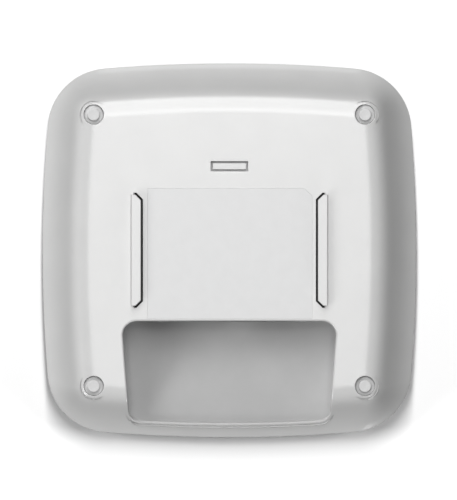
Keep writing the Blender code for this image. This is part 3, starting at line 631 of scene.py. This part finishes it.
def port_wall(body, top, low_z):
    """The upper wall's flat part with a window for each socket, and the windows' reveals."""
    xs = [x for x, _, _ in top]
    levels = np.linspace(top[0][2], low_z, 4)
    border = [(x, low_z) for x in reversed(xs)] + [(xs[0], z) for z in levels[2:0:-1]]
    border += [(x, z) for x, _, z in top] + [(xs[-1], z) for z in levels[1:-1]]
    holes = []
    for low, high, radius in WINDOWS:
        loops = []
        for out, back in quarter_turn(WINDOW_RADIUS, 3):
            plan = rounded((low[0] - out, low[1] - out), (high[0] + out, high[1] + out), radius + out, 6)
            loops.append([(x, BAY_TOP_Y + back, z) for x, z in plan])
        holes.append([(x, z) for x, _, z in loops[0]])
        loops.append([(x, BAY_TOP_Y + COVER_WALL, z) for x, _, z in loops[-1]])
        body.rings(loops)
    rows = np.linspace(low_z, top[0][2], 9)[1:-1]
    spots = [(x, z) for x in np.linspace(xs[0], xs[-1], 33)[1:-1] for z in rows]
    plan, faces = meshed(border, holes, spots, clear=0.2)
    body.add_faces([(x, BAY_TOP_Y, z) for x, z in plan], faces)


def sunk(body, plan_at, radius, section, steps=3):
    """A pocket in the back: a rounded mouth, then (grow, z) down its wall.

    Returns the mouth's plan and the last ring.
    """
    loops = [on_skin(plan_at(radius + EDGE_MARGIN))]
    loops += [on_skin(plan_at(out), drop) for out, drop in quarter_turn(radius, steps)]
    loops += [at_height(plan_at(grow), z) for grow, z in section]
    rings = body.rings(loops)
    return plan_at(radius + EDGE_MARGIN), rings[-1]


def label_plan(grow):
    low_x, low_y = LABEL_LOW[0] - grow, LABEL_LOW[1] - grow
    high_x, high_y = LABEL_HIGH[0] + grow, LABEL_HIGH[1] + grow
    cut_off = LABEL_CORNER + grow * 0.4
    corner = [(high_x, high_y - cut_off), (high_x - cut_off, high_y)]
    return subdivided([(low_x, low_y), (high_x, low_y), *corner, (low_x, high_y)], 16)


def slot_plan(side, grow):
    """The moulding slot under a rail's lip: it follows the lip, a small gap outside it."""
    tip, half = RAIL_TIP - SLOT_GAP - grow, RAIL_HALF + SLOT_GAP + grow
    chamfer = RAIL_CHAMFER + SLOT_GAP * (2 - math.sqrt(2)) + grow * 0.6
    outer = SLOT_OUTER + grow
    plan = [(outer, -half), (outer, half), (tip + chamfer, half), (tip, half - chamfer)]
    plan += [(tip, -half + chamfer), (tip + chamfer, -half)]
    if side < 0:
        plan = [(-x, y) for x, y in reversed(plan)]
    return subdivided(plan, 12, 8.0)


def relief_plan(side, grow):
    """The fine groove along the foot of a rail's outer face."""
    low, high = RAIL_OUTER - 0.25 - grow, RAIL_OUTER + RAIL_RELIEF + grow
    half = RAIL_HALF + grow
    plan = [(low, -half), (high, -half), (high, half), (low, half)]
    if side < 0:
        plan = [(-x, y) for x, y in reversed(plan)]
    return subdivided(plan, 12, 8.0)


def plug_pocket(body, centre):
    """The pocket for a screw plug, and the screw's counterbore below it."""
    def plan(radius):
        return circle(radius, 56, centre)

    mouth = plan(PLUG_POCKET_R + PLUG_POCKET_EDGE + EDGE_MARGIN)
    loops = [on_skin(mouth)]
    loops += [on_skin(plan(PLUG_POCKET_R + out), drop) for out, drop in quarter_turn(PLUG_POCKET_EDGE, 4)]
    loops += [at_height(plan(radius), z) for radius, z in (
        (PLUG_POCKET_R, PLUG_POCKET_Z + 0.2),
        (PLUG_POCKET_R - 0.2, PLUG_POCKET_Z),
        (COUNTERBORE_R, PLUG_POCKET_Z),
        (COUNTERBORE_R, COUNTERBORE_Z),
    )]
    rings = body.rings(loops)
    body.cap(rings[-1])
    return mouth


def latch_pocket(body):
    """A groove round a raised seat; returns the mouth's plan."""
    def plan(half, grow):
        across, along = half[0] + grow, half[1] + grow
        low, high = (-across, LATCH_Y - along), (across, LATCH_Y + along)
        return rounded(low, high, LATCH_CORNER + max(0.0, grow), 4)

    seat = LATCH_SEAT_TOP
    outer = ((LATCH_EDGE, 0.0), (0.02, -0.03), (0.0, -0.1), (-0.1, -LATCH_DEPTH))
    inner = ((0.0, -LATCH_DEPTH), (0.0, seat - 0.12), (-0.04, seat - 0.04), (-0.12, seat))
    loops = [at_height(plan(LATCH_HALF, grow), z) for grow, z in outer]
    loops += [at_height(plan(LATCH_SEAT, grow), z) for grow, z in inner]
    rings = body.rings(loops)
    body.cap(rings[-1])
    return plan(LATCH_HALF, LATCH_EDGE)


def rear_cover():
    """The shell with its flat back and sloping sides, and every opening in it."""
    body = Body()
    holes = [bay(body)]

    mouth, last = sunk(body, lambda grow: label_plan(LABEL_GAP + grow), 0.02, [(0.0, -LABEL_RECESS)], steps=2)
    body.cap(last)
    holes.append(mouth)

    holes.append(latch_pocket(body))

    for side in (-1, 1):
        mouth, _ = sunk(body, lambda grow: slot_plan(side, grow), 0.06, [(0.0, -COVER_WALL)], steps=2)
        holes.append(mouth)
        mouth, last = sunk(body, lambda grow: relief_plan(side, grow), 0.04, [(0.0, -0.45)], steps=2)
        body.cap(last)
        holes.append(mouth)
    holes += [plug_pocket(body, centre) for centre in SCREW_PLACES]

    edge_reach = HALF - RIM_RADIUS
    reaches = [reach for reach, _ in back_section(BACK_STEPS) if reach < edge_reach - 0.3]
    filling = [point for reach in reaches for point in contour(reach)]
    filling += [point for reach in (50.0, 53.0) for point in contour(reach)[::3]]
    filling += [(x, y) for x in np.linspace(-48, 48, 25) for y in np.linspace(-27, 48, 20)]
    for centre in SCREW_PLACES:
        filling += [point for radius in (5.1, 5.5, 6.0, 6.6) for point in circle(radius, 56, centre)]
    plan, faces = meshed(contour(edge_reach), holes, filling)
    body.add_faces(on_skin(plan), faces)

    edge_z = float(skin_z([(edge_reach, 0.0)])[0])
    turn = [(HALF - 0.34, edge_z - 0.2), (HALF - 0.14, edge_z - 0.38), (HALF - 0.03, edge_z - 0.5)]
    turn += [(HALF, RIM_FOOT_Z), (STEP_REACH, RIM_FOOT_Z), (STEP_REACH, STEP_Z), (STEP_REACH - 2.0, STEP_Z)]
    rim = [at_height(rim_outline(reach), z) for reach, z in turn]
    body.rings([at_height(contour(edge_reach), edge_z), *rim])
    cover = add("rear_cover_moulding", "cover_white", body.points, body.faces, sharp=42)
    # Painted shade: the bay and the latch groove take a darker colour.
    paint_recess_shade(cover)
    thicken(cover, COVER_WALL)
    weigh_normals(cover)
    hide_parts("rear_cover")


def paint_recess_shade(cover):
    """The bay and the latch groove get a rougher finish, and a darker colour that is painted shade in these
    recesses.
    """
    cover.data.materials.append(LOOKS["bay_rough_painted_shade"])
    plan = bay_outline(0.05)
    middles = np.array([tuple(polygon.center / MM) for polygon in cover.data.polygons])
    x, y, z = middles.T
    in_bay = inside(middles[:, :2], plan) & (z < skin_z(middles[:, :2]) - MOUTH_RADIUS)
    in_latch = (abs(x) < LATCH_HALF[0] + 0.01) & (abs(y - LATCH_Y) < LATCH_HALF[1] + 0.01)
    in_latch &= (z > -LATCH_DEPTH - 0.01) & (z < LATCH_SEAT_TOP - 0.05)
    # Faces in the bay and the latch groove take the darker, rougher material: painted shade in the recesses.
    for polygon, rougher_with_painted_shade in zip(cover.data.polygons, in_bay | in_latch):
        polygon.material_index = int(rougher_with_painted_shade)


def rail(side):
    """An inverted-L hook whose lip points at the middle, its two inner corners cut off."""
    web = RAIL_OUTER - RAIL_WEB
    half, cut_y = RAIL_HALF, RAIL_HALF - RAIL_CHAMFER
    slant = RAIL_TIP + RAIL_CHAMFER
    top = [(RAIL_OUTER, -half), (RAIL_OUTER, half)]
    top += [(slant, half), (RAIL_TIP, cut_y), (RAIL_TIP, -cut_y), (slant, -half)]
    points = [(x, y, RAIL_TOP) for x, y in top]
    points += [(x, y, RAIL_UNDER) for x, y in top[2:]]
    points += [(web, half, RAIL_UNDER), (web, -half, RAIL_UNDER)]
    points += [(web, half, RAIL_ROOT), (web, -half, RAIL_ROOT)]
    points += [(RAIL_OUTER, half, RAIL_ROOT), (RAIL_OUTER, -half, RAIL_ROOT)]
    faces = [
        (0, 1, 2, 3, 4, 5),
        (2, 3, 7, 6),
        (3, 4, 8, 7),
        (4, 5, 9, 8),
        (6, 7, 8, 9, 11, 10),
        (10, 11, 13, 12),
        (12, 13, 15, 14),
        (14, 15, 0, 1),
        (1, 2, 6, 10, 12, 14),
        (0, 5, 9, 11, 13, 15),
    ]
    points = [(side * x, y, z) for x, y, z in points]
    name = "bracket_rail_left" if side < 0 else "bracket_rail_right"
    hook = add(name, "cover_white", points, faces, sharp=60)
    round_edges(hook, 0.22)
    weigh_normals(hook)


# ---------------------------------------------------------------- front cover, label and plugs


def front_cover():
    """The room-side cover: a short side, a full shoulder and a slightly crowned face."""
    body = Body()
    across, down = HALF - FACE_EDGE, SHOULDER_Z - FACE_Z
    section = [(HALF - 0.14, FRONT_TOP), (HALF - 0.03, FRONT_TOP - 0.06), (HALF, FRONT_TOP - 0.2)]
    for turn in np.linspace(0, math.pi / 2, FRONT_STEPS + 1):
        section.append((FACE_EDGE + across * math.cos(turn), SHOULDER_Z - down * math.sin(turn)))
    body.rings([at_height(rim_outline(reach), z) for reach, z in section])

    face = rim_outline(FACE_EDGE)

    def face_z(plan):
        scales = []
        for x, y in plan:
            away = max(abs(x), abs(y))
            lean = math.atan2(min(abs(x), abs(y)), away)
            scales.append(away / FACE_EDGE * (1 + 0.012 * lean))
        return [FACE_Z - CROWN * (1 - min(1.0, scale) ** 2) for scale in scales]

    hole = circle(LIGHT_HOLE_R + LIGHT_HOLE_EDGE, 32, LIGHT_HOLE_AT)
    filling = []
    for share in np.linspace(0.96, 0.04, 24):
        filling += [(x * share, y * share) for x, y in face[::2]]
    plan, faces = meshed(face, [hole], filling)
    edge = set(face)
    points = [(x, y, FACE_Z if (x, y) in edge else z) for (x, y), z in zip(plan, face_z(plan))]
    body.add_faces(points, faces)
    rim = face_z(hole)
    rings = []
    for out, drop in quarter_turn(LIGHT_HOLE_EDGE, 4):
        edge_plan = circle(LIGHT_HOLE_R + out, 32, LIGHT_HOLE_AT)
        rings.append([(x, y, z + drop) for (x, y), z in zip(edge_plan, rim)])
    body.rings(rings)
    cover = add("front_cover_moulding", "cover_white", body.points, body.faces, sharp=42)
    thicken(cover, COVER_WALL)
    weigh_normals(cover)
    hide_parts("front_cover")


def rating_label():
    """A blank label, its top edge very slightly rounded."""
    body = Body()
    low, top = LABEL_TOP - LABEL_THICK, LABEL_TOP
    loops = [at_height(label_plan(grow), z) for grow, z in ((0, low), (0, top - 0.02), (-0.02, top))]
    rings = body.rings(loops)
    body.cap(rings[0])
    body.cap(rings[-1])
    label = add("rating_label_film", "label_white", body.points, body.faces, sharp=50)
    weigh_normals(label)
    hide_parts("rating_label")


def turned(name, look, profile, centre, steps=48):
    """A round piece about an axis along Z: profile is (radius, z) from one end to the other."""
    body = Body()
    rings = body.rings([at_height(circle(radius, steps, centre), z) for radius, z in profile])
    body.cap(rings[0])
    body.cap(rings[-1])
    made = add(name, look, body.points, body.faces, sharp=50)
    weigh_normals(made)
    return made


def screw_plugs():
    """Soft plugs in the screw pockets: a stem, a lower shelf round the outside and a raised crown."""
    stem = [(2.7, -5.6), (2.9, -5.2), (2.9, -2.5)]
    shelf = [(3.85, -2.5), (4.0, -2.35), (4.0, PLUG_SHELF_Z - 0.2), (3.94, PLUG_SHELF_Z - 0.06)]
    shelf += [(3.8, PLUG_SHELF_Z), (2.8, PLUG_SHELF_Z)]
    shelf += [(2.66, PLUG_SHELF_Z + 0.05), (2.6, PLUG_SHELF_Z + 0.2)]
    crown = [(2.6, -0.72), (2.56, -0.58), (2.45, -0.5), (2.3, -0.47), (1.7, -0.47), (1.5, -0.5), (0.4, -0.56)]
    for number, centre in enumerate(SCREW_PLACES, start=1):
        plug = turned(f"screw_plug_{number}_cap", "plug_rubber", stem + shelf + crown, centre)
        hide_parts(f"screw_plug_{number}")


def carried_over():
    """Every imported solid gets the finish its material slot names."""
    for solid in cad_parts.values():
        for slot in solid.material_slots:
            slot.material = LOOKS[slot.material.name.split(".")[0]]


# ---------------------------------------------------------------- floor, lights and camera


def stage_floor():
    """A wide white disc under the front cover, which throws no light back onto the object."""
    points = [[value * MM for value in point] for point in at_height(circle(FLOOR_R, 96), FLOOR_Z)]
    mesh = bpy.data.meshes.new("studio_floor")
    mesh.from_pydata(points, [], [tuple(range(len(points)))])
    look = bpy.data.materials.new("studio_floor")
    look.use_nodes = True
    shader = look.node_tree.nodes["Principled BSDF"]
    shader.inputs["Base Color"].default_value = FLOOR_COLOUR
    shader.inputs["Roughness"].default_value = 0.9
    shader.inputs["Specular IOR Level"].default_value = 0.1
    mesh.materials.append(look)
    floor = bpy.data.objects.new("studio_floor", mesh)
    bpy.context.collection.objects.link(floor)
    floor.visible_diffuse = False
    floor.visible_glossy = False
    return floor


def light_groups(floor):
    """What each set of lights falls on: everything but the floor, and the floor alone."""
    groups = {}
    for name, state in (("lit_object", "EXCLUDE"), ("lit_floor", "INCLUDE")):
        groups[name] = bpy.data.collections.new(name)
        groups[name].objects.link(floor)
        groups[name].collection_objects[0].light_linking.link_state = state
    return groups


def softbox(group, azimuth, elevation, size, power):
    """A rectangular area light that faces the object, `azimuth` degrees round from +X."""
    turn, lift = math.radians(azimuth), math.radians(elevation)
    at = Vector((math.cos(lift) * math.cos(turn), math.cos(lift) * math.sin(turn), math.sin(lift)))
    light = bpy.data.lights.new(f"softbox_{azimuth}_{elevation}", "AREA")
    light.shape = "RECTANGLE"
    light.size, light.size_y = size
    light.energy = power
    made = bpy.data.objects.new(light.name, light)
    made.location = at * LIGHT_DISTANCE
    made.rotation_euler = (-at).to_track_quat("-Z", "Y").to_euler()
    made.light_linking.receiver_collection = group
    bpy.context.collection.objects.link(made)


def lights(floor):
    """The softboxes and a weak even light from all round."""
    groups = light_groups(floor)
    for elevation in BANK_ELEVATIONS:
        softbox(groups["lit_object"], 90, elevation, BANK_SIZE, BANK_POWER)
    for light in OBJECT_LIGHTS:
        softbox(groups["lit_object"], *light)
    for light in FLOOR_LIGHTS:
        softbox(groups["lit_floor"], *light)
    world = bpy.data.worlds.new("studio")
    world.use_nodes = True
    background = world.node_tree.nodes["Background"]
    background.inputs["Color"].default_value = (1, 1, 1, 1)
    background.inputs["Strength"].default_value = WORLD_STRENGTH
    bpy.context.scene.world = world


def camera():
    """A long lens, square on to the back with the cable bay at the bottom."""
    view = bpy.data.cameras.new("view")
    view.sensor_fit = "VERTICAL"
    view.sensor_height = SENSOR
    view.lens = SENSOR * (CAMERA_DISTANCE + CUT_BELOW) / VIEW_HEIGHT
    view.clip_end = 50.0
    view.shift_x, view.shift_y = VIEW_SHIFT
    made = bpy.data.objects.new("view", view)
    made.location = (0, 0, CAMERA_DISTANCE)
    bpy.context.collection.objects.link(made)
    bpy.context.scene.camera = made


rear_cover()
rail(-1)
rail(1)
front_cover()
rating_label()
screw_plugs()
carried_over()
lights(stage_floor())
camera()
bpy.context.scene.view_settings.view_transform = "Standard"
